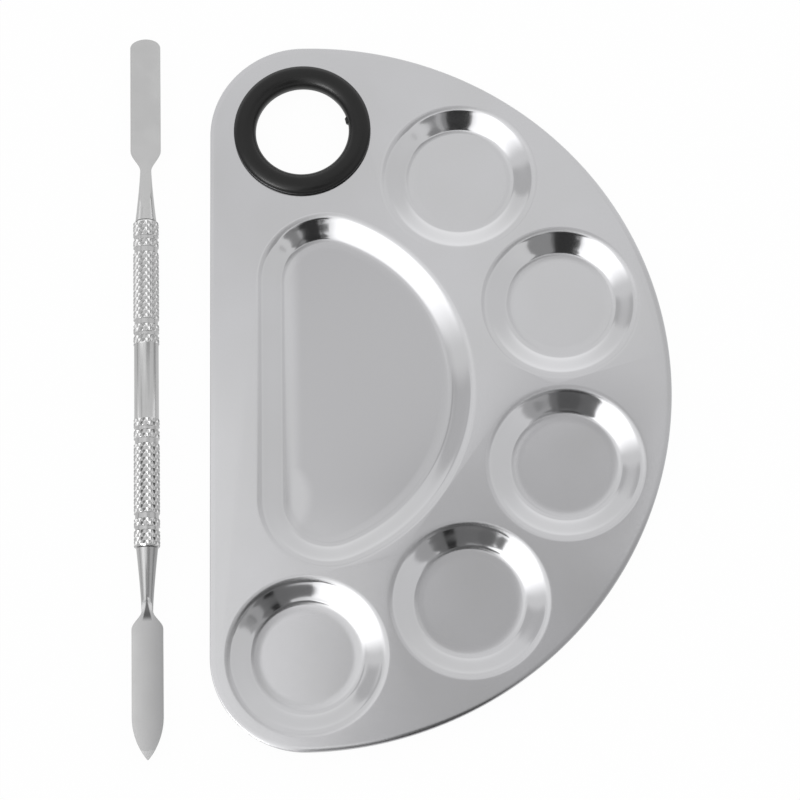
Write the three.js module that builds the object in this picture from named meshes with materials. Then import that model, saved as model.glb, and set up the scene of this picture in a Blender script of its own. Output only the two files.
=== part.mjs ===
// A painter's mixing palette pressed from one steel sheet, with a rubber-lined thumb hole,
// and the double-ended mixing spatula that lies beside it.
// Millimetres, +Z up. Both pieces rest on z = 0, and the origin is the middle of the set.
import * as THREE from "three";
import { toCreasedNormals } from "three/addons/utils/BufferGeometryUtils.js";

// The sheet and its half-moon outline
const sheet = 0.8; // steel thickness
const moonRadius = 77.5; // the round side
const edgeRoll = 0.35; // soft upper edge left by the punch
const edgeBreak = 0.12; // lower edge

// The wells, all pressed to one depth with one wall
const wellCount = 5; // round wells, which share the half circle with the thumb hole
const wellDepth = 2.4;
const rimStrip = 3.4; // flat land outside each round well
const wellGap = 2.3; // flat land between neighbours
const wallSlope = THREE.MathUtils.degToRad(27);
const shoulderRadius = 2.2; // bend from the land into the wall
const bendRadius = 1.6; // bend from the wall into the floor

// The large D-shaped tray in the middle
const traySide = 9.8; // from the arc centre to the tray's straight side
const trayCorner = 14.7;
const trayEndGap = 2.05; // land between the tray's ends and the ring of wells
const trayNoseGap = 4.9; // the same at the tray's round side

// The rubber grommet in the thumb hole
const thumbHole = 20.6; // clear width
const grommetWall = 1.9; // rubber inside the sheet's hole
const lipReach = 2.7; // how far each lip covers the sheet
const lipFlank = 0.5; // upright outer face of a lip
const lipCrown = 1.2; // domed part above it
const seatGap = 0.25; // clearance of a piece in its seat

// The spatula's handle, measured inwards from each end face
const handleRadius = 2.8; // over the points of the knurl
const knurlDepth = 0.2;
const knurlPitch = 1.6; // length of one diamond
const diamonds = 16; // round the handle
const endBand = 3.35;
const endGroove = 1.0;
const outerRing = 1.5;
const outerGroove = 1.35;
const mainKnurl = 14.9;
const innerGroove = 1.3;
const middleRing = 1.6;
const midGroove = 0.95;
const innerRing = 1.6;
const smoothLength = 16.7; // plain middle of the handle
const smoothRadius = 2.62;
const grooveRadius = 2.5;
const grooveSlope = 0.15; // run of a groove's side
const endChamfer = 0.3;

// The two blades, each forged from a round rod whose tang sits in the handle
const boreRadius = 1.6;
const tangLength = 8;
const collarRadius = 2.3; // the rod where it meets the handle
const waistRadius = 1.2; // its thinnest place
const neckHollow = 1.3; // over 1 draws the neck in
const bladeWidth = 6.6;
const bladeThickness = 0.9;
const rampLength = 4; // from the round waist to the flat of the blade
const rampShare = 0.25; // how far into the shoulder the ramp ends, of the shoulder's length
const flatBlade = { neck: 12, shoulder: 4.6, reach: 42.7, tip: 2 };
const pointedBlade = { neck: 13.4, shoulder: 3.8, reach: 44.5, tip: 9.1 };
const tipBevel = 2.2; // ground facet on the point
const tipThickness = 0.2;
const roundTipSweep = 80; // degrees of the round end drawn before its closing facets

// How the two pieces lie
const layGap = 10.7; // clear space between the palette and the handle
const layTurn = THREE.MathUtils.degToRad(0.63);
const layShift = 1.9; // the handle's middle, above the palette's middle

// Facets
const wellSteps = 32;
const bendSteps = 2;
const moonSteps = 40;
const cornerSteps = 10;
const holeSteps = 32;
const lipSteps = 6;
const crease = Math.PI / 5; // edges sharper than this stay sharp
const bladeSideSteps = 3;
const bladeTopSteps = 5;
const steepestFlat = Math.PI / 3; // where a flat wider than the rod gives way to its round side
const neckSteps = 3;
const rampSteps = 5;
const shoulderSteps = 6;
const roundTipSteps = 8;
const pointSteps = 12;

// Worked out from the sizes above
const landTop = wellDepth + sheet;
const stationStep = Math.PI / wellCount;
const halfStep = Math.sin(stationStep / 2);
const pitchRadius = (moonRadius - rimStrip + wellGap / 2) / (1 + halfStep);
const rimRadius = pitchRadius * halfStep - wellGap / 2;
const cornerRadius = moonRadius - pitchRadius; // round the thumb hole and the last well
const grooveSeat = thumbHole / 2 + grommetWall;
const wellRing = pitchRadius - rimRadius; // the space that the wells leave for the tray

// A station on the half circle: 0 is the thumb hole, the wells follow clockwise
function station(index) {
  const angle = Math.PI / 2 - index * stationStep;
  return [pitchRadius * Math.cos(angle), pitchRadius * Math.sin(angle)];
}

function arc(x, y, radius, from, to, steps, last = false) {
  return Array.from({ length: steps + (last ? 1 : 0) }, (_, i) => {
    const angle = from + ((to - from) * i) / steps;
    return [x + radius * Math.cos(angle), y + radius * Math.sin(angle)];
  });
}

function circle([x, y], radius, steps) {
  return arc(x, y, radius, 0, 2 * Math.PI, steps);
}

// A counter-clockwise D: one big arc, and two corner arcs that meet it and the straight side
function dShape({ centreX, radius, sideX, corner }, inset) {
  const cornerX = sideX + corner;
  const cornerY = Math.sqrt((radius - corner) ** 2 - (cornerX - centreX) ** 2);
  const turn = Math.atan2(cornerY, cornerX - centreX);
  return [
    ...arc(centreX, 0, radius - inset, -turn, turn, moonSteps),
    ...arc(cornerX, cornerY, corner - inset, turn, Math.PI, cornerSteps, true),
    ...arc(cornerX, -cornerY, corner - inset, Math.PI, 2 * Math.PI - turn, cornerSteps),
  ];
}

const moon = {
  centreX: 0,
  radius: moonRadius,
  sideX: -cornerRadius,
  corner: cornerRadius,
};

// The tray's big arc passes through its nose and meets both corners, which fixes its radius
function trayShape() {
  const halfLength = wellRing - trayEndGap;
  const nose = wellRing - trayNoseGap;
  const reach = trayCorner - traySide - nose;
  const radius =
    (trayCorner ** 2 - reach ** 2 - (halfLength - trayCorner) ** 2) /
    (2 * (trayCorner + reach));
  return { centreX: nose - radius, radius, sideX: -traySide, corner: trayCorner };
}

const ring = (points, z) => points.map(([x, y]) => new THREE.Vector3(x, y, z));

// Triangles between two rings. A ring that runs counter-clockwise below the other faces outwards.
// Where crossed is given, the diagonals change over so that they follow the cuts of a knurl.
function addStrip(triangles, lower, upper, crossed = null) {
  lower.forEach((a, i) => {
    const next = (i + 1) % lower.length;
    const [b, c, d] = [lower[next], upper[next], upper[i]];
    if (crossed !== null && (i + crossed) % 2) triangles.push([a, b, d], [b, c, d]);
    else triangles.push([a, b, c], [a, c, d]);
  });
}

function addCap(triangles, points, apex, facingBack = false) {
  points.forEach((a, i) => {
    const b = points[(i + 1) % points.length];
    triangles.push(facingBack ? [b, a, apex] : [a, b, apex]);
  });
}

const between = (from, to, steps) =>
  Array.from({ length: steps }, (_, i) => from + ((to - from) * i) / steps);

function middle(points) {
  return points
    .reduce((sum, p) => sum.add(p), new THREE.Vector3())
    .divideScalar(points.length);
}

// A flat face with holes, facing up or down
function addFlat(triangles, outline, holes, z, facing) {
  const flat = (points) => points.map(([x, y]) => new THREE.Vector2(x, y));
  const rings = [flat(outline), ...holes.map(flat)];
  const all = rings.flat();
  for (const face of THREE.ShapeUtils.triangulateShape(rings[0], rings.slice(1))) {
    const corners = face.map((i) => all[i]);
    const turned = THREE.ShapeUtils.area(corners) * facing < 0;
    if (turned) corners.reverse();
    triangles.push(corners.map((p) => new THREE.Vector3(p.x, p.y, z)));
  }
}

function meshOf(name, triangles, material) {
  const geometry = new THREE.BufferGeometry().setFromPoints(triangles.flat());
  const mesh = new THREE.Mesh(toCreasedNormals(geometry, crease), material);
  mesh.name = name;
  return mesh;
}

// Section through a well's wall, as [inset, drop, slope]: shoulder bend, straight wall, floor bend
function wallSection() {
  const section = [];
  for (let i = 0; i <= bendSteps; i++) {
    const slope = (wallSlope * i) / bendSteps;
    section.push([shoulderRadius * Math.sin(slope), shoulderRadius * (1 - Math.cos(slope)), slope]);
  }
  const bends = (shoulderRadius + bendRadius) * (1 - Math.cos(wallSlope));
  const straight = (wellDepth - bends) / Math.sin(wallSlope);
  const run =
    (shoulderRadius + bendRadius) * Math.sin(wallSlope) + straight * Math.cos(wallSlope);
  for (let i = bendSteps; i >= 0; i--) {
    const slope = (wallSlope * i) / bendSteps;
    section.push([
      run - bendRadius * Math.sin(slope),
      wellDepth - bendRadius * (1 - Math.cos(slope)),
      slope,
    ]);
  }
  return section;
}

// One well pressed into the sheet: outline(inset) gives its plan at any place on the wall
function addWell(triangles, outline) {
  const upper = [];
  const lower = [];
  for (const [inset, drop, slope] of wallSection()) {
    upper.push(ring(outline(inset), landTop - drop));
    const back = inset - sheet * Math.sin(slope);
    lower.push(ring(outline(back), landTop - drop - sheet * Math.cos(slope)));
  }
  for (let i = 1; i < upper.length; i++) {
    addStrip(triangles, upper[i - 1], upper[i]);
    addStrip(triangles, lower[i], lower[i - 1]);
  }
  addCap(triangles, upper.at(-1), middle(upper.at(-1)));
  addCap(triangles, lower.at(-1), middle(lower.at(-1)), true);
}

function palettePlate(material) {
  const triangles = [];
  const tray = trayShape();
  const plans = [(inset) => dShape(tray, inset)];
  for (let i = 1; i <= wellCount; i++)
    plans.push((inset) => circle(station(i), rimRadius - inset, wellSteps));
  plans.forEach((plan) => addWell(triangles, plan));

  const hole = circle(station(0), grooveSeat + seatGap, holeSteps);
  const holes = [hole, ...plans.map((plan) => plan(0))];
  addStrip(triangles, ring(hole, landTop), ring(hole, landTop - sheet));
  addFlat(triangles, dShape(moon, edgeRoll), holes, landTop, 1);
  addFlat(triangles, dShape(moon, edgeBreak), holes, landTop - sheet, -1);

  // The punched edge, from the broken lower corner up and over the roll
  const edge = [
    ring(dShape(moon, edgeBreak), landTop - sheet),
    ring(dShape(moon, 0), landTop - sheet + edgeBreak),
  ];
  for (let i = 0; i <= bendSteps; i++) {
    const turn = (Math.PI / 2) * (i / bendSteps);
    const inset = edgeRoll * (1 - Math.cos(turn));
    edge.push(ring(dShape(moon, inset), landTop - edgeRoll * (1 - Math.sin(turn))));
  }
  edge.slice(1).forEach((upper, i) => addStrip(triangles, edge[i], upper));
  return meshOf("palette_plate", triangles, material);
}

// A ring of rubber with a groove round it for the sheet, and two domed lips
function grommet(material) {
  const inner = thumbHole / 2;
  const outer = grooveSeat + lipReach;
  const crown = (z, from, facing) =>
    Array.from({ length: lipSteps + 1 }, (_, i) => {
      const angle = from + (Math.PI * i) / lipSteps;
      return new THREE.Vector2(
        (inner + outer) / 2 + ((outer - inner) / 2) * Math.cos(angle),
        z + lipCrown * Math.abs(Math.sin(angle)) * facing,
      );
    });
  const half = sheet / 2; // the profile stands about the middle of the sheet
  const profile = [
    ...crown(half + seatGap + lipFlank, 0, 1),
    ...crown(-half - seatGap - lipFlank, Math.PI, -1),
    new THREE.Vector2(outer, -half - seatGap),
    new THREE.Vector2(grooveSeat, -half - seatGap),
    new THREE.Vector2(grooveSeat, half + seatGap),
    new THREE.Vector2(outer, half + seatGap),
  ];
  profile.push(profile[0].clone());
  const geometry = new THREE.LatheGeometry(profile, holeSteps).rotateX(Math.PI / 2);
  const mesh = new THREE.Mesh(geometry, material);
  mesh.name = "thumb_hole_grommet";
  mesh.position.set(...station(0), landTop - half);
  return mesh;
}

// Bands and grooves from an end face inwards, each with its length and whether it is knurled
const layout = [
  ["band", endBand],
  ["groove", endGroove],
  ["band", outerRing],
  ["groove", outerGroove],
  ["band", mainKnurl],
  ["groove", innerGroove],
  ["band", middleRing],
  ["groove", midGroove],
  ["band", innerRing],
];
const handleLength = smoothLength + 2 * layout.reduce((sum, [, length]) => sum + length, 0);
const boreDepth = tangLength + seatGap;

// Rows of the handle's skin from one end face to the middle, as [distance in, radius, knurled]
function handleRows() {
  const rows = [[0, handleRadius - endChamfer, false]];
  let start = 0;
  layout.forEach(([kind, length], index) => {
    const end = start + length;
    if (kind === "band") {
      const first = index === 0 ? start + endChamfer : start;
      const count = Math.max(2, Math.round((2 * (end - first)) / knurlPitch));
      for (let i = 0; i <= count; i++)
        rows.push([first + ((end - first) * i) / count, handleRadius, true]);
    } else {
      rows.push([start + grooveSlope, grooveRadius, false]);
      rows.push([end - grooveSlope, grooveRadius, false]);
    }
    start = end;
  });
  rows.push([start + grooveSlope, smoothRadius, false]);
  return rows;
}

function handle(material) {
  const triangles = [];
  const columns = 2 * diamonds;
  const half = handleLength / 2;
  const inwards = handleRows();
  const rows = [
    [-half + boreDepth, boreRadius, false],
    [-half, boreRadius, false],
    ...inwards.map(([along, radius, cut]) => [along - half, radius, cut]),
    ...inwards.map(([along, radius, cut]) => [half - along, radius, cut]).reverse(),
    [half, boreRadius, false],
    [half - boreDepth, boreRadius, false],
  ];
  // Rings run counter-clockwise seen from +Y. On a knurled row the points and the crossings of
  // the cuts take turns, and change places from row to row.
  const rings = rows.map(([y, radius, cut], row) =>
    Array.from({ length: columns }, (_, i) => {
      const angle = (2 * Math.PI * i) / columns;
      const r = cut && (i + row) % 2 === 0 ? radius - knurlDepth : radius;
      return new THREE.Vector3(r * Math.sin(angle), y, r * Math.cos(angle));
    }),
  );
  rings.slice(1).forEach((upper, row) => addStrip(triangles, rings[row], upper, row));
  addCap(triangles, rings[0], middle(rings[0]), true);
  addCap(triangles, rings.at(-1), middle(rings.at(-1)));
  return meshOf("spatula_handle", triangles, material);
}

// Section of a blade: a round or oval rod, cut flat above and below at a given height
function bladeRing(y, halfWidth, rod, flat) {
  const corner = Math.min(Math.asin(Math.min(1, flat / rod)), steepestFlat);
  const point = (angle) =>
    new THREE.Vector3(
      halfWidth * Math.cos(angle),
      y,
      -THREE.MathUtils.clamp(rod * Math.sin(angle), -flat, flat),
    );
  return [
    ...between(-corner, corner, bladeSideSteps),
    ...between(corner, Math.PI - corner, bladeTopSteps),
    ...between(Math.PI - corner, Math.PI + corner, bladeSideSteps),
    ...between(Math.PI + corner, 2 * Math.PI - corner, bladeTopSteps),
  ].map(point);
}

// A blade along +Y from the handle's end face. tipWidth(u) is its half width at u along the tip.
function blade(name, { neck, shoulder, reach, tip }, tipSpan, bevel, material) {
  const halfWidth = bladeWidth / 2;
  const halfThick = bladeThickness / 2;
  const width = (s) => {
    if (s < neck)
      return waistRadius + (collarRadius - waistRadius) * (1 - s / neck) ** neckHollow;
    const spread = THREE.MathUtils.smoothstep(s, neck, neck + shoulder);
    return waistRadius + (halfWidth - waistRadius) * spread;
  };
  const rampEnd = neck + shoulder * rampShare;
  const flatAt = (s) => {
    const ramp = THREE.MathUtils.clamp((rampEnd - s) / rampLength, 0, 1);
    const tipward = bevel ? THREE.MathUtils.clamp((reach - s) / tipBevel, 0, 1) : 1;
    const thick = THREE.MathUtils.lerp(tipThickness / 2, halfThick, tipward);
    return THREE.MathUtils.lerp(thick, collarRadius, ramp);
  };
  const rings = [
    bladeRing(-tangLength, boreRadius - seatGap, boreRadius - seatGap, collarRadius),
    bladeRing(seatGap, boreRadius - seatGap, boreRadius - seatGap, collarRadius),
  ];
  const shoulderEnd = neck + shoulder;
  const stations = [
    ...between(seatGap, neck - rampLength, neckSteps),
    ...between(neck - rampLength, neck, rampSteps),
    ...between(neck, shoulderEnd, shoulderSteps),
    shoulderEnd,
    (shoulderEnd + reach - tip) / 2,
  ];
  for (const s of stations)
    rings.push(bladeRing(s, width(s), Math.min(width(s), collarRadius), flatAt(s)));
  for (const [u, w] of tipSpan(tip, halfWidth)) {
    const s = reach - tip + u;
    rings.push(bladeRing(s, w, waistRadius, flatAt(s)));
  }
  const triangles = [];
  rings.slice(1).forEach((upper, i) => addStrip(triangles, rings[i], upper));
  addCap(triangles, rings[0], middle(rings[0]), true);
  addCap(triangles, rings.at(-1), new THREE.Vector3(0, reach, 0));
  return meshOf(name, triangles, material);
}

// The round end is half an ellipse in plan
const roundTip = (tip, halfWidth) =>
  between(0, roundTipSweep, roundTipSteps).map((degrees) => {
    const angle = THREE.MathUtils.degToRad(degrees);
    return [tip * Math.sin(angle), halfWidth * Math.cos(angle)];
  });

// The point is two arcs that leave the sides smoothly and meet on the axis
const ogiveTip = (tip, halfWidth) => {
  const radius = (tip ** 2 + halfWidth ** 2) / (2 * halfWidth);
  return between(0, tip, pointSteps).map((u) => [u, halfWidth - radius + Math.sqrt(radius ** 2 - u ** 2)]);
};

const steel = new THREE.MeshStandardMaterial({
  color: 0xc3c3c5,
  metalness: 1,
  roughness: 0.32,
});
const polishedSteel = new THREE.MeshStandardMaterial({
  color: 0xcfcfd1,
  metalness: 1,
  roughness: 0.2,
});
const rubber = new THREE.MeshStandardMaterial({ color: 0x2b2b2d, roughness: 0.55 });

const palette = new THREE.Group();
palette.add(palettePlate(steel), grommet(rubber));

const pointed = new THREE.Group();
pointed.position.y = -handleLength / 2;
pointed.rotation.z = Math.PI;
pointed.add(blade("pointed_blade", pointedBlade, ogiveTip, true, polishedSteel));
const flat = new THREE.Group();
flat.position.y = handleLength / 2;
flat.add(blade("flat_blade", flatBlade, roundTip, false, polishedSteel));

const spatula = new THREE.Group();
spatula.add(handle(polishedSteel), flat, pointed);
spatula.position.set(-cornerRadius - layGap - handleRadius, layShift, handleRadius);
spatula.rotation.z = layTurn;

// The set stands with the middle of its footprint at the origin
const set = new THREE.Group();
set.add(palette, spatula);
const footprint = new THREE.Box3().setFromObject(set, true);
const centre = footprint.getCenter(new THREE.Vector3());
set.position.set(-centre.x, -centre.y, -footprint.min.z);

export default set;
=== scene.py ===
# A painter's mixing palette of pressed steel with a rubber-lined thumb hole, and its double-ended spatula.
# Everything is in metres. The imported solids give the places, and each piece's dictionary gives
# what its look needs.
from math import atan2, cos, pi, radians, sin, sqrt

import bmesh
import bpy
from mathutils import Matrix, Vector


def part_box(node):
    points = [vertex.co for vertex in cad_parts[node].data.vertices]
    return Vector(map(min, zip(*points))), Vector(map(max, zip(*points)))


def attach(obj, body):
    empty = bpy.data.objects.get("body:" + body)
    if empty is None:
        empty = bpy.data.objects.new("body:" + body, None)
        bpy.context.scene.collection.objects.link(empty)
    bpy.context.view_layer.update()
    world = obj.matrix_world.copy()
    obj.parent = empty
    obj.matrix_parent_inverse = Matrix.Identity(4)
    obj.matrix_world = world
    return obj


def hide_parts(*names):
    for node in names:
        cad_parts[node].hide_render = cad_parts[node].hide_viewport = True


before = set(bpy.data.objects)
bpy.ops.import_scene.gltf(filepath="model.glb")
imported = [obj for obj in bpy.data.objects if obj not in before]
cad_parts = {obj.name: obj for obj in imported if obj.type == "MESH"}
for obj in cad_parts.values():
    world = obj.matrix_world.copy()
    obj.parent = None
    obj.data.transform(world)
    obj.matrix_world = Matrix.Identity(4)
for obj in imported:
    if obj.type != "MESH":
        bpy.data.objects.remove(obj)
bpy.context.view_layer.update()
scene = bpy.context.scene
scene.view_settings.view_transform = "Standard"
closeBy = 0.00001  # points nearer than this are taken as one
print("frame loaded:", ", ".join(sorted(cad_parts)))


# A link inside a material. Sums on it read as Python and add their Math nodes.
class Wire:
    def __init__(self, tree, socket=None):
        self.tree = tree
        self.socket = socket

    # Any other node: its settings are made first, then its sockets get their values or links
    def node(self, kind, settings=None, sockets=None, output=0):
        made = self.tree.nodes.new("ShaderNode" + kind)
        for name, value in (settings or {}).items():
            setattr(made, name, value)
        for name, value in (sockets or {}).items():
            if isinstance(value, Wire):
                self.tree.links.new(value.socket, made.inputs[name])
            else:
                made.inputs[name].default_value = value
        return Wire(self.tree, made.outputs[output]) if made.outputs else None

    def math(self, operation, *values):
        return self.node("Math", {"operation": operation}, dict(enumerate(values)))

    def __add__(self, other):
        return self.math("ADD", self, other)

    __radd__ = __add__

    def __sub__(self, other):
        return self.math("SUBTRACT", self, other)

    def __rsub__(self, other):
        return self.math("SUBTRACT", other, self)

    def __mul__(self, other):
        return self.math("MULTIPLY", self, other)

    __rmul__ = __mul__

    def size(self):
        return self.math("ABSOLUTE", self)

    # 0 up to the first value, 1 from the last one on and smooth between them, upwards or downwards
    def step(self, first, last):
        settings = {"interpolation_type": "SMOOTHSTEP"}
        return self.node("MapRange", settings, {"Value": self, "From Min": first, "From Max": last})

    # The same in a straight line
    def ramp(self, first, last):
        return self.node("MapRange", None, {"Value": self, "From Min": first, "From Max": last})

    def axis(self, name):
        return self.node("SeparateXYZ", None, {"Vector": self}, "XYZ".index(name))

    def noise(self, scale, detail=2.0, stretch=(1, 1, 1)):
        placed = self.node("Mapping", None, {"Vector": self, "Scale": stretch})
        return self.node("TexNoise", None, {"Vector": placed, "Scale": scale, "Detail": detail})

    # Between two colours
    def mix(self, first, second):
        return self.node("Mix", {"data_type": "RGBA"}, {0: self, 6: first, 7: second}, 2)

    def bump(self, distance, normal=None):
        sockets = {"Height": self, "Distance": distance}
        if normal:
            sockets["Normal"] = normal
        return self.node("Bump", None, sockets)


# A grey of a level, with its blue raised by a share
def grey(level, blue=0.0):
    return (level, level, level * (1 + blue), 1)


def newMaterial(name):
    material = bpy.data.materials.new(name)
    material.use_nodes = True
    material.node_tree.nodes.clear()
    return material, Wire(material.node_tree)


# Camera and studio

camera = {
    "place": (0.0078, -0.1675, 0.5636),
    "turn": (16.22, 1.08, -1.04),  # degrees about X, Y and Z
    "lens": 124.5,
    "sensor": 36,
    "nearest": 0.01,
}

studio = {
    "tent": 0.93,  # radiance of the white tent all round
    "floorSize": 6,
    "floorDrop": 0.0002,  # clear of the wells' undersides
    "floorWhite": 0.88,
    "floorGlow": 0.97,  # share of plain white that the camera sees in it
    "floorMirrored": 0.85,  # what the metal sees in it
    "cardStep": 0.0005,  # each card hangs this much under the one before
}

# What the tent's radiance gains in some directions, and where on each axis that sets in and is full
tentAreas = {
    "lowFarSide": (0.34, {"Y": (0.3, 0.75), "Z": (0.54, 0.3)}),
    "rightSide": (-0.07, {"X": (0.45, 0.75)}),
    "nearFoot": (-0.4, {"Y": (0.5, 0.2), "Z": (0.35, 0.1)}),
    "farFoot": (0.6, {"Y": (0.2, 0.5), "Z": (0.28, 0.08)}),
    "lowNearSide": (-0.12, {"X": (-0.5, -0.1), "Y": (0.05, -0.3), "Z": (0.65, 0.45)}),
}

# Cards over the set: middle, half size, turn in degrees, soft edge, radiance and height
cards = {
    "softBox": ((-0.42, -0.24), (0.44, 0.35), 0, 0.2, 2.0, 0.5),
    "softCore": ((-0.55, -0.48), (0.26, 0.26), 0, 0.12, 11.0, 0.5),
    "leftGap": ((-0.57, 0.37), (0.16, 0.22), 0, 0.1, 0.66, 0.5),
    "leftGlow": ((-0.17, 0.049), (0.125, 0.12), 0, 0.04, 1.09, 0.5),
    "topFlag": ((-0.065, 0.235), (0.07, 0.06), 0, 0.04, 0.86, 0.5),
    "farFlag": ((0.0325, 0.012), (0.0575, 0.112), 0, 0.03, 0.61, 0.5),
    "lowFlag": ((-0.015, 0.02), (0.035, 0.045), 0, 0.025, 0.6, 0.5),
    "midFlag": ((0.059, 0.113), (0.04, 0.04), 0, 0.025, 0.62, 0.5),
    "sideFlag": ((0.207, 0.13), (0.125, 0.13), 0, 0.05, 0.74, 0.5),
    "rightFlag": ((0.2, -0.005), (0.15, 0.085), 0, 0.03, 0.47, 0.5),
    "lens": ((0.066, -0.101), (0.108, 0.036), 0, 0.004, 0.33, 0.3),
    "lensRing": ((0.094, -0.101), (0.013, 0.036), 0, 0.004, 0.6, 0.3),
    "lensCore": ((0.014, -0.101), (0.05, 0.036), 0, 0.004, 0.045, 0.3),
    "standGrey": ((0.14, -0.131), (0.028, 0.045), 15, 0.01, 0.5, 0.2),
    "stand": ((0.072, -0.136), (0.05, 0.08), 0, 0.003, 0.2, 0.2),
    "standFoot": ((-0.009, -0.176), (0.039, 0.026), 0, 0.003, 0.2, 0.2),
    "standArm": ((-0.026, -0.137), (0.056, 0.034), 45, 0.003, 0.17, 0.2),
    "glint": ((-0.063, -0.163), (0.01, 0.007), 0, 0.007, 1.4, 0.2),
    "clampSide": ((0.092, -0.089), (0.033, 0.03), 0, 0.004, 0.38, 0.2),
    "clampFoot": ((0.105, -0.132), (0.024, 0.014), 0, 0.004, 0.5, 0.2),
    "clamp": ((0.026, -0.087), (0.03, 0.032), 0, 0.004, 0.04, 0.2),
    "clampLow": ((0.033, -0.135), (0.03, 0.018), 0, 0.004, 0.12, 0.2),
    "knob": ((0.068, -0.179), (0.016, 0.018), 20, 0.003, 0.02, 0.2),
}


def addCamera():
    turn = [radians(angle) for angle in camera["turn"]]
    bpy.ops.object.camera_add(location=camera["place"], rotation=turn)
    lens = bpy.context.object.data
    lens.lens, lens.sensor_width, lens.clip_start = camera["lens"], camera["sensor"], camera["nearest"]
    scene.camera = bpy.context.object


def addTent():
    scene.world = bpy.data.worlds.new("tent")
    scene.world.use_nodes = True
    scene.world.node_tree.nodes.clear()
    start = Wire(scene.world.node_tree)
    facing = start.node("TexCoord")
    level = studio["tent"]
    for gain, limits in tentAreas.values():
        for axis, (first, last) in limits.items():
            gain = facing.axis(axis).step(first, last) * gain
        level = level + gain
    tent = start.node("Background", None, {"Color": grey(1), "Strength": level})
    backdrop = start.node("Background", None, {"Color": grey(1), "Strength": 1})
    seen = start.node("LightPath", None, None, "Is Camera Ray")
    shown = start.node("MixShader", None, {0: seen, 1: tent, 2: backdrop})
    start.node("OutputWorld", None, {"Surface": shown})


def addFloor():
    bpy.ops.mesh.primitive_plane_add(size=studio["floorSize"], location=(0, 0, -studio["floorDrop"]))
    floor = bpy.context.object
    floor.name = "floor"
    material, start = newMaterial("floorWhite")
    paper = start.node("BsdfDiffuse", None, {"Color": grey(studio["floorWhite"])})
    seen = start.node("LightPath", None, None, "Is Camera Ray")
    mirrored = start.node("LightPath", None, None, "Is Glossy Ray")
    level = seen.mix(grey(studio["floorMirrored"]), grey(1))
    glow = start.node("Emission", None, {"Color": level, "Strength": 1})
    share = seen.math("MAXIMUM", seen, mirrored) * studio["floorGlow"]
    shown = start.node("MixShader", None, {0: share, 1: paper, 2: glow})
    start.node("OutputMaterial", None, {"Surface": shown})
    floor.data.materials.append(material)


# A card shows in the metal and the rubber alone, and fades out along its edges
def addCard(name, middle, halfSize, turn, edge, level, height):
    bpy.ops.mesh.primitive_plane_add(size=2, location=(*middle, height), rotation=(0, 0, radians(turn)))
    plane = bpy.context.object
    plane.name = name
    plane.scale = (*halfSize, 1)
    material, start = newMaterial(name)
    where = start.node("TexCoord", None, None, "Object")
    fade = 1
    for axis, half in zip("XY", halfSize):
        fade = (1 - where.axis(axis).size()).step(0, edge / half) * fade
    light = start.node("Emission", None, {"Color": grey(1), "Strength": level})
    clear = start.node("BsdfTransparent")
    shown = start.node("MixShader", None, {0: fade, 1: clear, 2: light})
    start.node("OutputMaterial", None, {"Surface": shown})
    plane.data.materials.append(material)
    for ray in ("camera", "diffuse", "transmission", "volume_scatter", "shadow"):
        setattr(plane, "visible_" + ray, False)


addCamera()
addTent()
addFloor()
for order, (name, (*shape, height)) in enumerate(cards.items()):
    addCard(name, *shape, height - order * studio["cardStep"])
print("studio set:", len(cards), "cards")


# Modelling helpers

def newPiece(name):
    piece = bpy.context.object
    piece.name = piece.data.name = name
    return piece


def select(piece):
    bpy.ops.object.select_all(action="DESELECT")
    piece.select_set(True)
    bpy.context.view_layer.objects.active = piece


def edit(piece):
    select(piece)
    bpy.ops.object.mode_set(mode="EDIT")


def leaveEdit():
    bpy.ops.object.mode_set(mode="OBJECT")


# A piece of a single vertex, left in edit mode to be drawn on from
def startPoint(name, place):
    bpy.ops.mesh.primitive_plane_add(location=place)
    piece = newPiece(name)
    edit(piece)
    bpy.ops.mesh.merge(type="CENTER")
    return piece


# Selects the vertices, edges or faces that pass a test
def pick(piece, kind, test):
    bpy.ops.mesh.select_mode(type=kind)
    bpy.ops.mesh.select_all(action="DESELECT")
    mesh = bmesh.from_edit_mesh(piece.data)
    parts = {"VERT": mesh.verts, "EDGE": mesh.edges, "FACE": mesh.faces}[kind]
    for part in parts:
        if test(part):
            part.select_set(True)
    mesh.select_flush_mode()
    bmesh.update_edit_mesh(piece.data)


def bevelPicked(width, segments, affect="EDGES"):
    bpy.ops.mesh.bevel(offset=width, segments=segments, affect=affect, clamp_overlap=True)


def applyModifier(piece, kind, **settings):
    modifier = piece.modifiers.new(kind, kind)
    for name, value in settings.items():
        setattr(modifier, name, value)
    bpy.context.view_layer.objects.active = piece
    bpy.ops.object.modifier_apply(modifier=modifier.name)


# Puts the piece's place into its mesh, so that its object sits at the origin
def applyPlace(piece):
    select(piece)
    bpy.ops.object.transform_apply(location=True, rotation=True, scale=True)


# Points the faces outwards, shades edges over so many degrees as sharp, gives the piece its finish and
# its body, and hides the solid that it stands for
def finishPiece(piece, material, body, node, crease):
    edit(piece)
    bpy.ops.mesh.select_all(action="SELECT")
    bpy.ops.mesh.normals_make_consistent(inside=False)
    leaveEdit()
    applyPlace(piece)
    bpy.ops.object.shade_smooth_by_angle(angle=radians(crease))
    piece.data.materials.clear()
    piece.data.materials.append(material)
    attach(piece, body)
    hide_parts(node)
    print(node, "dressed:", len(piece.data.polygons), "faces")


# Palette plate

plateLow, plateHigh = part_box("palette_plate")
landTop = plateHigh.z
moonRadius = (plateHigh.y - plateLow.y) / 2
moonCentre = Vector((plateHigh.x - moonRadius, (plateHigh.y + plateLow.y) / 2, landTop))
cornerRadius = moonCentre.x - plateLow.x
pitchRadius = moonRadius - cornerRadius

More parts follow.
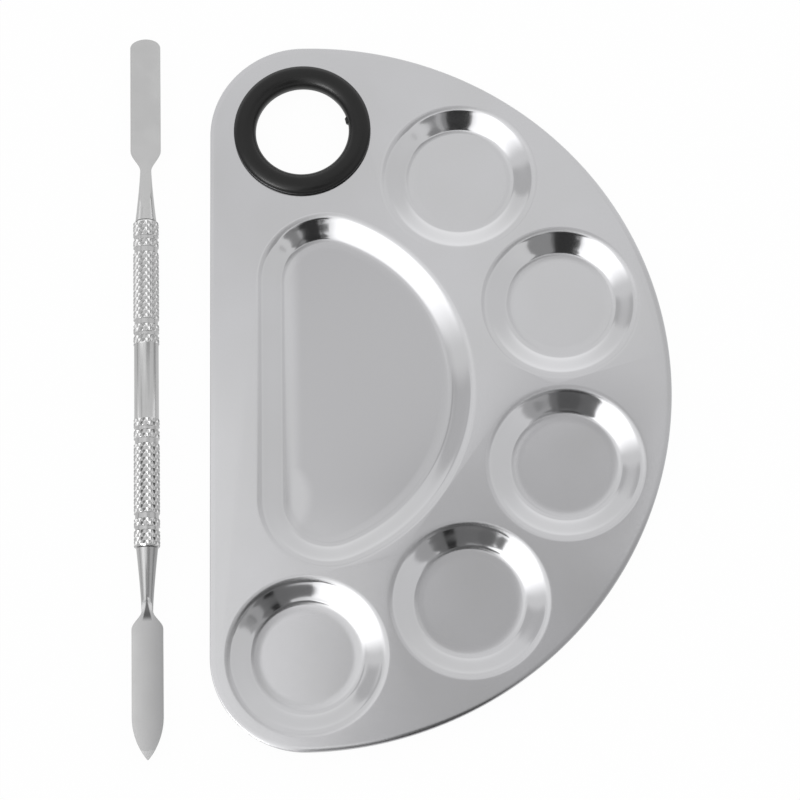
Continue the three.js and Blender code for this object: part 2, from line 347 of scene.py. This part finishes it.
plate = {
    "sheet": 0.0008,
    "wells": 5,
    "wellGap": 0.0023,
    "slope": 24.7,  # of the middle of a wall, in degrees
    "topSwell": 2.5,  # how much steeper the wall ends at the shoulder
    "footSwell": 3.2,  # and at its foot
    "swellPower": 3,
    "start": 0.00002,  # from the edge of the flat strip to the first bend
    "shoulder": 0.0019,  # length of the bend at the rim
    "bend": 0.0013,  # length of the tight bend at the foot of the wall
    "easeSlope": 4,  # slope that the tight bend leaves
    "ease": 0.0017,  # length over which it dies out in the floor
    "curl": 0.3,  # how far a bend starts and ends gently: 0 is a plain arc
    "steps": {"shoulder": 10, "wall": 12, "bend": 8, "ease": 6},
    "support": 0.0006,  # flat strip drawn outside each rim
    "traySide": 0.0098,  # from the moon's centre to the tray's straight side
    "trayCorner": 0.0147,
    "trayEndGap": 0.00205,  # from the tray's ends to the circle inside all the wells
    "trayNoseGap": 0.0049,  # and from its round side
    "holeRadius": 0.01245,
    "holeShift": 0.0006,  # how far the hole is punched towards the top of the plate
    "edgeStrip": 0.0012,
    "edgeRoll": (0.0002, 4),  # round at the top of the cut edges, and its facets
    "edgeBreak": (0.00012, 2),  # and at the bottom
    "edgeAngle": 60,  # least turn of a cut edge, in degrees
    "flatAngle": 0.1,  # greatest turn between faces that count as one
    "crease": 50,
    "wellFacets": 128,
    "arcFacets": 160,
    "cornerFacets": 40,
}


def smoothStep(t):
    t = min(max(t, 0), 1)
    return t * t * (3 - 2 * t)


def stationPlace(index):
    angle = pi / 2 - index * pi / plate["wells"]
    return moonCentre + pitchRadius * Vector((cos(angle), sin(angle), 0))


wellRim = pitchRadius * sin(pi / plate["wells"] / 2) - plate["wellGap"] / 2
holeCentre = stationPlace(0) + Vector((0, plate["holeShift"], 0))


# Runs and drops down a well's wall: over the shoulder, down the wall, round the bend and out into the floor
def wallSteps():
    slope, ease, steps = radians(plate["slope"]), radians(plate["easeSlope"]), plate["steps"]

    def bent(length, first, last, count):
        rows = []
        for i in range(count):
            t = (i + 0.5) / count
            gentle = t + (smoothStep(t) - t) * plate["curl"]
            angle = first + (last - first) * gentle
            rows.append((length / count * cos(angle), length / count * sin(angle)))
        return rows

    top, low = radians(plate["topSwell"]), radians(plate["footSwell"])
    shoulder = bent(plate["shoulder"], 0, slope + top, steps["shoulder"])
    foot = bent(plate["bend"], slope + low, ease, steps["bend"])
    foot += bent(plate["ease"], ease, 0, steps["ease"])
    drop = landTop - plate["sheet"] - sum(d for _, d in shoulder + foot)
    angles = []
    for i in range(steps["wall"]):
        off = 1 - (i + 0.5) * 2 / steps["wall"]
        angles.append(slope + (top if off > 0 else low) * abs(off) ** plate["swellPower"])
    length = drop / sum(sin(angle) for angle in angles)
    wall = [(length * cos(angle), length * sin(angle)) for angle in angles]
    return [(plate["start"], 0)] + shoulder + wall + foot


# Draws on from the selected vertex, counter-clockwise round a centre
def drawArc(centre, angle, steps):
    bpy.ops.mesh.spin(steps=steps, angle=-angle, center=centre, axis=(0, 0, 1))


# A D: one big arc and two corner arcs, which meet it and the straight side, grown all round
def drawD(name, arcX, radius, sideX, corner, grow):
    cornerX = sideX + corner
    cornerY = sqrt((radius - corner) ** 2 - (cornerX - arcX) ** 2)
    turn = atan2(cornerY, cornerX - arcX)
    piece = startPoint(name, moonCentre + Vector((sideX - grow, -cornerY, 0)))
    drawArc(moonCentre + Vector((cornerX, -cornerY, 0)), pi - turn, plate["cornerFacets"])
    drawArc(moonCentre + Vector((arcX, 0, 0)), 2 * turn, plate["arcFacets"])
    drawArc(moonCentre + Vector((cornerX, cornerY, 0)), pi - turn, plate["cornerFacets"])
    bpy.ops.mesh.select_all(action="SELECT")
    bpy.ops.mesh.edge_face_add()
    return piece


def drawTray():
    ringInside = pitchRadius - wellRim
    nose = ringInside - plate["trayNoseGap"]
    corner = plate["trayCorner"]
    reach = corner - plate["traySide"] - nose
    side = ringInside - plate["trayEndGap"] - corner
    radius = (corner**2 - reach**2 - side**2) / (2 * (corner + reach))
    return drawD("tray", nose - radius, radius, -plate["traySide"], corner, plate["support"])


def drawRound(name, centre, radius):
    bpy.ops.mesh.primitive_circle_add(
        vertices=plate["wellFacets"], radius=radius, fill_type="NGON", location=centre)
    piece = newPiece(name)
    edit(piece)
    return piece


# Presses a lone face down into the sheet
def press(piece):
    bpy.ops.mesh.select_all(action="SELECT")
    if next(iter(bmesh.from_edit_mesh(piece.data).faces)).normal.z < 0:
        bpy.ops.mesh.flip_normals()
    for run, drop in wallSteps():
        bpy.ops.mesh.inset(thickness=run, depth=-drop, use_even_offset=True)
    leaveEdit()


def makePlate():
    parts = [drawTray()]
    press(parts[0])
    for index in range(1, plate["wells"] + 1):
        parts.append(drawRound("well", stationPlace(index), wellRim + plate["support"]))
        press(parts[-1])
    parts.append(drawRound("hole", holeCentre, plate["holeRadius"]))
    bpy.ops.mesh.delete(type="ONLY_FACE")
    leaveEdit()
    piece = drawD("palettePlate", 0, moonRadius, -cornerRadius, cornerRadius, 0)
    bpy.ops.mesh.delete(type="ONLY_FACE")
    leaveEdit()

    for part in parts:
        part.select_set(True)
    bpy.ops.object.join()
    edit(piece)
    pick(piece, "EDGE", lambda edge: len(edge.link_faces) < 2)
    bpy.ops.mesh.fill(use_beauty=True)

    # The fill's slivers would thicken the wrong way
    bpy.ops.mesh.dissolve_limited(angle_limit=radians(plate["flatAngle"]))
    bpy.ops.mesh.select_all(action="SELECT")
    bpy.ops.mesh.normals_make_consistent(inside=False)
    bpy.ops.mesh.inset(thickness=plate["edgeStrip"], use_even_offset=True)
    leaveEdit()
    applyModifier(piece, "SOLIDIFY", thickness=plate["sheet"], offset=-1, use_even_offset=True)
    applyPlace(piece)

    edit(piece)
    for height, rounding in ((landTop, "edgeRoll"), (landTop - plate["sheet"], "edgeBreak")):
        pick(piece, "EDGE", lambda edge: isEdgeAt(edge, height))
        bevelPicked(*plate[rounding])
    leaveEdit()
    return piece


def isEdgeAt(edge, height):
    level = all(abs(vertex.co.z - height) < closeBy for vertex in edge.verts)
    return level and edge.calc_face_angle(0) > radians(plate["edgeAngle"])


steel = {
    "dark": (0.563, 0.018),  # level and blue of the darker clouds
    "light": (0.583, 0.026),
    "trayShade": (0.488, 0.022),  # and of the painted shade on part of the tray's floor
    "contrast": (0.3, 0.7),  # part of the noise over which the clouds turn light
    "roughness": 0.11,
    "cloudRoughness": 0.05,
    "wallPolish": 0.04,  # smoother on the drawn walls
    "bendWear": 0.07,  # rougher at the bends
    "wallTilt": (0.045, 0.085),  # how far from upright the normals of walls lie
    "bendTilt": (0.001, 0.008),  # and of bends
    "cloudScale": 45,
    "grainScale": 2600,
    "grainStretch": (1, 0.06, 1),
    "grain": 0.0000012,
    "waveScale": 30,
    "waves": 0.00006,  # the sheet isn't quite flat
}

# The painted shade on part of the tray's floor: where it sets in and is full, across, along and downwards
trayShade = {
    "across": (-0.0233, -0.0203),
    "along": (-0.042, -0.022),
    "depth": (0.0014, 0.0023),
    "reach": 0.7071,  # the tray lies inside this share of the circle through the wells' centres
    "reachEdge": 0.00001,  # soft edge of that circle, in square metres
    "notch": (-0.0245, 0.0068, 0.0026),  # where its edge is pushed in: middle, half length and depth
}


# The mask of the painted shade on the tray's floor
def trayShadeMask(where):
    across, along, height = (where.axis(axis) for axis in "XYZ")
    middle, half, depth = trayShade["notch"]
    off = (along - middle) * (1 / half)
    notch = off.math("MAXIMUM", 1 - off * off, 0) * depth
    patch = (across - notch).step(*trayShade["across"]) * along.step(*trayShade["along"])
    aside, ahead = across - moonCentre.x, along - moonCentre.y
    reach = (trayShade["reach"] * pitchRadius) ** 2
    inside = (reach - (aside * aside + ahead * ahead)).step(0, trayShade["reachEdge"])
    return patch * inside * (landTop - height).step(*trayShade["depth"])


def steelFinish():
    material, start = newMaterial("pressedSteel")
    where = start.node("TexCoord", None, None, "Object")
    tilt = 1 - start.node("TexCoord", None, None, "Normal").axis("Z").size()
    wall = tilt.step(*steel["wallTilt"])
    bend = tilt.step(*steel["bendTilt"]) * (1 - wall)
    cloud = where.noise(steel["cloudScale"], 3)
    grain = where.noise(steel["grainScale"], 3, steel["grainStretch"])
    colour = cloud.step(*steel["contrast"]).mix(grey(*steel["dark"]), grey(*steel["light"]))
    # Painted shade: a patch of the tray's floor is darker in the base colour
    colour = trayShadeMask(where).mix(colour, grey(*steel["trayShade"]))
    roughness = steel["roughness"] + cloud * steel["cloudRoughness"]
    roughness = roughness - wall * steel["wallPolish"] + bend * steel["bendWear"]
    waves = where.noise(steel["waveScale"], 1).bump(steel["waves"])
    metal = start.node("BsdfPrincipled", None, {
        "Base Color": colour, "Metallic": 1, "Roughness": roughness,
        "Normal": grain.bump(steel["grain"], waves)})
    start.node("OutputMaterial", None, {"Surface": metal})
    return material


finishPiece(makePlate(), steelFinish(), "palette", "palette_plate", plate["crease"])


# Thumb hole grommet

grommet = {
    "inner": 0.0101,
    "outer": 0.01485,
    "peak": 0.0126,  # radius of the ring's highest line
    "seat": 0.0122,  # bottom of the groove
    "grooveHalf": 0.00042,
    "roll": 0.0006,  # round under a lip
    "wall": 0.0003,  # half height of the plain inner wall
    "arcFacets": 14,
    "ringFacets": 180,
    "stub": 0.00045,  # how far the stub left by the mould stands out of the inner wall
    "stubHalf": 0.00072,  # half its width
    "stubAngle": 13,
    "crease": 30,
}

rubber = {
    "dark": 0.007,
    "light": 0.01,
    "gloss": 0.3,
    "roughness": 0.26,
    "cloudRoughness": 0.06,
    "cloudScale": 220,
    "speckScale": 5200,
    "specks": 0.000004,
}


def rubberFinish():
    material, start = newMaterial("blackRubber")
    where = start.node("TexCoord", None, None, "Object")
    cloud = where.noise(rubber["cloudScale"], 3)
    specks = where.noise(rubber["speckScale"], 2).bump(rubber["specks"])
    moulded = start.node("BsdfPrincipled", None, {
        "Base Color": cloud.mix(grey(rubber["dark"]), grey(rubber["light"])),
        "Roughness": rubber["roughness"] + cloud * rubber["cloudRoughness"],
        "Specular IOR Level": rubber["gloss"], "Normal": specks})
    start.node("OutputMaterial", None, {"Surface": moulded})
    return material


# Out under a lip, up over its crown and down into the hole: radius and height over the groove's middle
def lipSection(top):
    def quarter(centre, radii, first):
        facets = grommet["arcFacets"]
        turns = [radians(first + 90 * i / facets) for i in range(facets + 1)]
        return [(centre[0] + radii[0] * cos(turn), centre[1] + radii[1] * sin(turn)) for turn in turns]

    roll, peak, wall = grommet["roll"], grommet["peak"], grommet["wall"]
    widest = grommet["grooveHalf"] + roll
    under = quarter((grommet["outer"] - roll, widest), (roll, roll), -90)
    outside = quarter((peak, widest), (grommet["outer"] - peak, top - widest), 0)
    inside = quarter((peak, wall), (peak - grommet["inner"], top - wall), 90)
    return [(grommet["seat"], grommet["grooveHalf"])] + under + outside[1:] + inside[1:]


# Draws the section through the ring at its right-hand side, then spins it round the hole
def makeGrommet():
    low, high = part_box("thumb_hole_grommet")
    middle = Vector((holeCentre.x, holeCentre.y, (low.z + high.z) / 2))
    lip = lipSection((high.z - low.z) / 2)
    section = lip + [(radius, -z) for radius, z in reversed(lip)]
    route = [middle + Vector((radius, 0, z)) for radius, z in section]
    piece = startPoint("thumbHoleGrommet", route[0])
    pick(piece, "VERT", lambda vertex: True)
    for last, place in zip(route, route[1:]):
        bpy.ops.mesh.extrude_region_move(TRANSFORM_OT_translate={"value": place - last})
    pick(piece, "VERT", lambda vertex: len(vertex.link_edges) == 1)
    bpy.ops.mesh.edge_face_add()
    bpy.ops.mesh.select_all(action="SELECT")
    bpy.ops.mesh.spin(steps=grommet["ringFacets"], angle=2 * pi, center=middle, axis=(0, 0, 1))
    bpy.ops.mesh.select_all(action="SELECT")
    bpy.ops.mesh.remove_doubles(threshold=closeBy)
    leaveEdit()
    applyPlace(piece)

    # The mould left a small stub on the inner wall
    turn = radians(grommet["stubAngle"])
    outwards = Vector((cos(turn), sin(turn), 0))
    stub = middle + outwards * grommet["inner"]
    edit(piece)
    pick(piece, "VERT", lambda vertex: (vertex.co - stub).length < grommet["stubHalf"])
    bpy.ops.transform.translate(value=outwards * -grommet["stub"])
    leaveEdit()
    return piece


finishPiece(
    makeGrommet(), rubberFinish(), "palette", "thumb_hole_grommet", grommet["crease"])


# Spatula: everything is drawn along +Y from the handle's middle, and laid in its place at the end

spatula = {
    "radius": 0.0028,  # over the points of the knurl
    "knurl": 0.00025,  # its depth
    "pitch": 0.0016,
    "diamonds": 16,  # round the handle
    "groove": 0.0025,  # radius in the grooves
    "grooveSide": 0.00015,  # length of their sloping sides
    "smooth": 0.00262,  # radius of the plain middle
    "smoothLength": 0.0167,
    "endChamfer": 0.0003,
    "bore": 0.0016,
    "boreDepth": 0.00825,
    "pointWear": 0.00013,  # flat worn on each point
    "crease": 24,
    "finish": ("handleSteel", 0.52, 0.17),  # name, level and roughness
}

# From each end of the handle to its plain middle: length, and whether it is knurled
bands = [
    (0.00335, True), (0.001, False), (0.0015, True), (0.00135, False), (0.0149, True),
    (0.0013, False), (0.0016, True), (0.00095, False), (0.0016, True),
]

blades = {
    "collar": 0.0023,  # half width where the blade's round neck meets the handle
    "waist": 0.0012,
    "hollow": 1.3,  # how hollow the neck's taper is: 1 is straight
    "neckRows": 12,
    "halfWidth": 0.0033,
    "halfThick": 0.00045,
    "wheelFacets": 256,
    "stone": 0.012,  # width of the grindstones
    "wheelStart": 0.25,  # share of the shoulder at which the wheel's lowest line comes down
    "seat": 0.00025,  # from the handle's end to the neck
    "facets": 48,
    "tang": 0.00138,  # radius of the tang
    "tangLength": 0.008,
    "tipFacet": 0.002,  # length of the facet ground on the point, above and below
    "tipHalf": 0.00003,  # half of what it leaves at the point
    "roundStep": 6,  # degrees between the rows of the round tip
    "roundEnd": 88,  # and at its last row
    "pointRows": 16,
    "pointEnd": 0.985,  # share of the pointed tip's length at its last row
    "crease": 10.5,
}

# Lengths from the handle's end on, and the radius of the wheel that ground the flats
flatBlade = {
    "neck": 0.012,
    "shoulder": 0.0046,
    "reach": 0.0427,
    "tip": 0.002,
    "wheel": 0.036,
    "finish": ("bladeSteel", 0.525, 0.22),
}
pointedBlade = {
    "neck": 0.0134,
    "shoulder": 0.0038,
    "reach": 0.0445,
    "tip": 0.0091,
    "wheel": 0.008,
    # The pointed blade's finish carries painted shade on its right and a painted dark reflection on its
    # neck
    "finish": ("paintedShadeBladeSteel", 0.515, 0.2),
}

handleHalf = spatula["smoothLength"] / 2 + sum(length for length, _ in bands)


def farVertex(node, side):
    return max((vertex.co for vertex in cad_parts[node].data.vertices), key=lambda co: side * co.y)


spatulaHead = farVertex("flat_blade", 1).copy()
spatulaFoot = farVertex("pointed_blade", -1).copy()
spatulaTurn = -atan2(spatulaHead.x - spatulaFoot.x, spatulaHead.y - spatulaFoot.y)
headReach = handleHalf + flatBlade["reach"]
spatulaMiddle = spatulaHead + (spatulaFoot - spatulaHead).normalized() * headReach


# Draws the rod on from its end face through rows of place along it, half width and half height
def extrudeRows(rows):
    for (y0, wide0, high0), (y1, wide1, high1) in zip(rows, rows[1:]):
        bpy.ops.mesh.extrude_region_move(TRANSFORM_OT_translate={"value": (0, y1 - y0, 0)})
        bpy.ops.transform.resize(value=(wide1 / wide0, 1, high1 / high0), center_override=(0, y1, 0))
    bpy.ops.mesh.select_all(action="SELECT")
    bpy.ops.mesh.normals_make_consistent(inside=False)


def startRod(name, facets, row):
    y, wide, high = row
    bpy.ops.mesh.primitive_circle_add(
        vertices=facets, radius=wide, fill_type="NGON", location=(0, y, 0), rotation=(pi / 2, 0, 0))
    piece = newPiece(name)
    piece.scale.y = high / wide
    applyPlace(piece)
    edit(piece)
    bpy.ops.mesh.select_all(action="SELECT")
    return piece


# Lays a spatula piece in its place beside the palette
def layDown(piece, extraTurn=0):
    piece.location = spatulaMiddle
    piece.rotation_euler.z = spatulaTurn + extraTurn


# Rows from one end face to the middle: distance in, radius, and whether the knurl crosses it
def handleRows():
    rows = [(0, spatula["radius"] - spatula["endChamfer"], False)]
    start = 0
    for length, knurled in bands:
        end = start + length
        if knurled:
            first = start or spatula["endChamfer"]
            count = max(2, round(2 * (end - first) / spatula["pitch"]))
            rows += [(first + (end - first) * i / count, spatula["radius"], True) for i in range(count + 1)]
        else:
            rows += [(start + spatula["grooveSide"], spatula["groove"], False)]
            rows += [(end - spatula["grooveSide"], spatula["groove"], False)]
        start = end
    return rows + [(start + spatula["grooveSide"], spatula["smooth"], False)]


def makeHandle():
    inwards = handleRows()
    rows = [(y - handleHalf, radius, cut) for y, radius, cut in inwards]
    rows += [(handleHalf - y, radius, cut) for y, radius, cut in reversed(inwards)]
    bore, depth, columns = spatula["bore"], spatula["boreDepth"], 2 * spatula["diamonds"]
    rows = [(depth - handleHalf, bore, False), (-handleHalf, bore, False)] + rows
    rows += [(handleHalf, bore, False), (handleHalf - depth, bore, False)]
    piece = startRod("spatulaHandle", columns, (rows[0][0], bore, bore))
    extrudeRows([(y, radius, radius) for y, radius, _ in rows])

    # The cuts of the knurl cross at every second vertex, and change over from row to row
    cutRows = [(number, y) for number, (y, _, cut) in enumerate(rows) if cut]

    def cutRow(vertex):
        return next((number for number, y in cutRows if abs(y - vertex.co.y) < closeBy), None)

    def crossing(vertex):
        row = cutRow(vertex)
        column = round(atan2(vertex.co.x, vertex.co.z) / (2 * pi) * columns)
        return row is not None and (row + column) % 2 == 0

    def point(vertex):
        return cutRow(vertex) is not None and not crossing(vertex)

    pick(piece, "VERT", crossing)
    deep = 1 - spatula["knurl"] / spatula["radius"]
    bpy.ops.transform.resize(value=(deep, 1, deep), center_override=(0, 0, 0))
    pick(piece, "FACE", lambda face: len(face.verts) == 4 and None not in map(cutRow, face.verts))
    bpy.ops.mesh.quads_convert_to_tris(quad_method="SHORTEST_DIAGONAL")
    pick(piece, "VERT", point)
    bevelPicked(spatula["pointWear"], 1, "VERTICES")
    leaveEdit()
    layDown(piece)
    return piece


# Rows along the round neck and the shoulder: distance from the handle, half width and half height
def neckRows(neck, shoulder):
    seat, waist, collar, count = (blades[name] for name in ("seat", "waist", "collar", "neckRows"))
    rows = []
    for i in range(count + 1):
        s = seat + (neck - seat) * i / count
        half = waist + (collar - waist) * max(0, 1 - s / neck) ** blades["hollow"]
        rows.append((s, half, half))
    for i in range(1, count + 1):
        s = neck + shoulder * i / count
        half = waist + (blades["halfWidth"] - waist) * smoothStep(i / count)
        rows.append((s, half, min(half, collar)))
    return rows


def makeBlade(name, sizes, tipRows):
    neck, shoulder, reach, tip = (sizes[length] for length in ("neck", "shoulder", "reach", "tip"))
    tang, body = blades["tang"], blades["collar"]
    rows = [(-blades["tangLength"], tang, tang), (blades["seat"], tang, tang)] + neckRows(neck, shoulder)
    rows.append((reach - tip, blades["halfWidth"], body))
    rows += [(reach - tip + u, half, body) for u, half in tipRows(tip)]
    piece = startRod(name, blades["facets"], rows[0])
    extrudeRows(rows)
    leaveEdit()

    # The wheel comes down on the neck and runs out over the tip, above and below: its sweep is cut away
    start, radius = neck + shoulder * blades["wheelStart"], sizes["wheel"]
    for side in (1, -1):
        bpy.ops.mesh.primitive_cylinder_add(
            vertices=blades["wheelFacets"], radius=radius, depth=blades["stone"],
            location=(0, start, side * (blades["halfThick"] + radius)), rotation=(0, pi / 2, 0))
        wheel = newPiece("wheel")
        applyPlace(wheel)
        edit(wheel)
        pick(wheel, "VERT", lambda vertex: vertex.co.y > start + closeBy)
        bpy.ops.transform.translate(value=(0, reach, 0))
        leaveEdit()
        applyModifier(piece, "BOOLEAN", operation="DIFFERENCE", object=wheel, solver="EXACT")
        bpy.data.objects.remove(wheel)
        print(name, "ground:", len(piece.data.polygons), "faces")
    return piece


# Grinds the facets on the point, above and below
def grindPoint(piece, reach):
    slope = atan2(blades["halfThick"] - blades["tipHalf"], blades["tipFacet"])
    size = blades["stone"]
    for side in (1, -1):
        upwards = Vector((0, sin(slope), side * cos(slope)))
        bpy.ops.mesh.primitive_cube_add(
            size=size, location=Vector((0, reach, side * blades["tipHalf"])) + upwards * size / 2,
            rotation=(-side * slope, 0, 0))
        stone = newPiece("stone")
        applyModifier(piece, "BOOLEAN", operation="DIFFERENCE", object=stone, solver="EXACT")
        bpy.data.objects.remove(stone)


# Rows of a tip beyond the plain blade: distance and half width
def roundTip(tip):
    step = blades["roundStep"]
    angles = [radians(degrees) for degrees in [*range(step, 90, step), blades["roundEnd"]]]
    return [(tip * sin(angle), blades["halfWidth"] * cos(angle)) for angle in angles]


def pointTip(tip):
    half, count = blades["halfWidth"], blades["pointRows"]
    radius = (tip**2 + half**2) / (2 * half)
    places = [tip * i / count for i in range(1, count)] + [tip * blades["pointEnd"]]
    return [(u, half - radius + sqrt(radius**2 - u**2)) for u in places]


satin = {
    "spread": 0.03,  # how far the level wanders, as a share
    "contrast": (0.3, 0.7),
    "cloudRoughness": 0.05,
    "cloudScale": 160,
    "lineScale": 3800,
    "lineStretch": (1, 0.05, 1),
    "lines": 0.000002,
    "shadedSide": (0.59, 0.01),  # painted shade: share of its level that the pointed blade keeps on its right, and blue
}

# The painted dark reflection on the pointed blade's neck: a line down its crown, which widens to a wedge
# before the blade. Two values are where it sets in and is full, in distance from the handle
paintedReflection = {
    "level": 0.1,
    "lineHalf": 0.0002,
    "wedgeStart": 0.0108,
    "wedgeSpread": 0.22,  # what the wedge's half width gains by length
    "softEdge": (-0.0001, 0.0002),
    "top": (0.002, 0.006),
    "foot": (0.0158, 0.0144),
    "lineStrength": 0.6,
    "fullStrength": (0.0095, 0.0115),
}


# The mask of the painted dark reflection on the pointed blade's neck
def paintedReflectionMask(where):
    own = where.node("Mapping", {"vector_type": "TEXTURE"}, {
        "Vector": where, "Location": spatulaMiddle, "Rotation": (0, 0, spatulaTurn)})
    out = 0 - own.axis("Y") - handleHalf
    wedge = (out - paintedReflection["wedgeStart"]) * paintedReflection["wedgeSpread"]
    half = wedge.math("MAXIMUM", wedge, paintedReflection["lineHalf"])
    mask = (half - own.axis("X").size()).step(*paintedReflection["softEdge"])
    line = paintedReflection["lineStrength"]
    strength = line + out.step(*paintedReflection["fullStrength"]) * (1 - line)
    return mask * strength * out.step(*paintedReflection["top"]) * out.step(*paintedReflection["foot"])


# A blade with painted shade on one side and a painted dark reflection on its neck names the solid that it
# stands for
def satinFinish(name, level, roughness, paintedShadeNode=None):
    material, start = newMaterial(name)
    where = start.node("TexCoord", None, None, "Object")
    cloud = where.noise(satin["cloudScale"], 3)
    lines = where.noise(satin["lineScale"], 2, satin["lineStretch"])
    darker, lighter = (grey(level * (1 + side * satin["spread"])) for side in (-1, 1))
    colour = cloud.step(*satin["contrast"]).mix(darker, lighter)
    if paintedShadeNode:
        low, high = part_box(paintedShadeNode)
        share, blue = satin["shadedSide"]
        # Painted shade: the pointed blade's base colour darkens towards its right-hand edge
        colour = where.axis("X").ramp(low.x, high.x).mix(colour, grey(level * share, blue))
        # Painted dark reflection: a line down the pointed blade's neck that widens to a wedge before the
        # blade
        colour = paintedReflectionMask(where).mix(colour, grey(paintedReflection["level"]))
    metal = start.node("BsdfPrincipled", None, {
        "Base Color": colour, "Metallic": 1, "Roughness": roughness + cloud * satin["cloudRoughness"],
        "Normal": lines.bump(satin["lines"])})
    start.node("OutputMaterial", None, {"Surface": metal})
    return material


# Seats a blade on the handle's end and lays it in its place
def finishBlade(blade, sizes, turn, node, paintedShadeNode=None):
    blade.location.y = handleHalf
    applyPlace(blade)
    layDown(blade, turn)
    material = satinFinish(*sizes["finish"], paintedShadeNode)
    finishPiece(blade, material, "spatula", node, blades["crease"])


handleFinish = satinFinish(*spatula["finish"])
finishPiece(makeHandle(), handleFinish, "spatula", "spatula_handle", spatula["crease"])

finishBlade(makeBlade("flatBlade", flatBlade, roundTip), flatBlade, 0, "flat_blade")

blade = makeBlade("pointedBlade", pointedBlade, pointTip)
grindPoint(blade, pointedBlade["reach"])
finishBlade(blade, pointedBlade, pi, "pointed_blade", "pointed_blade")
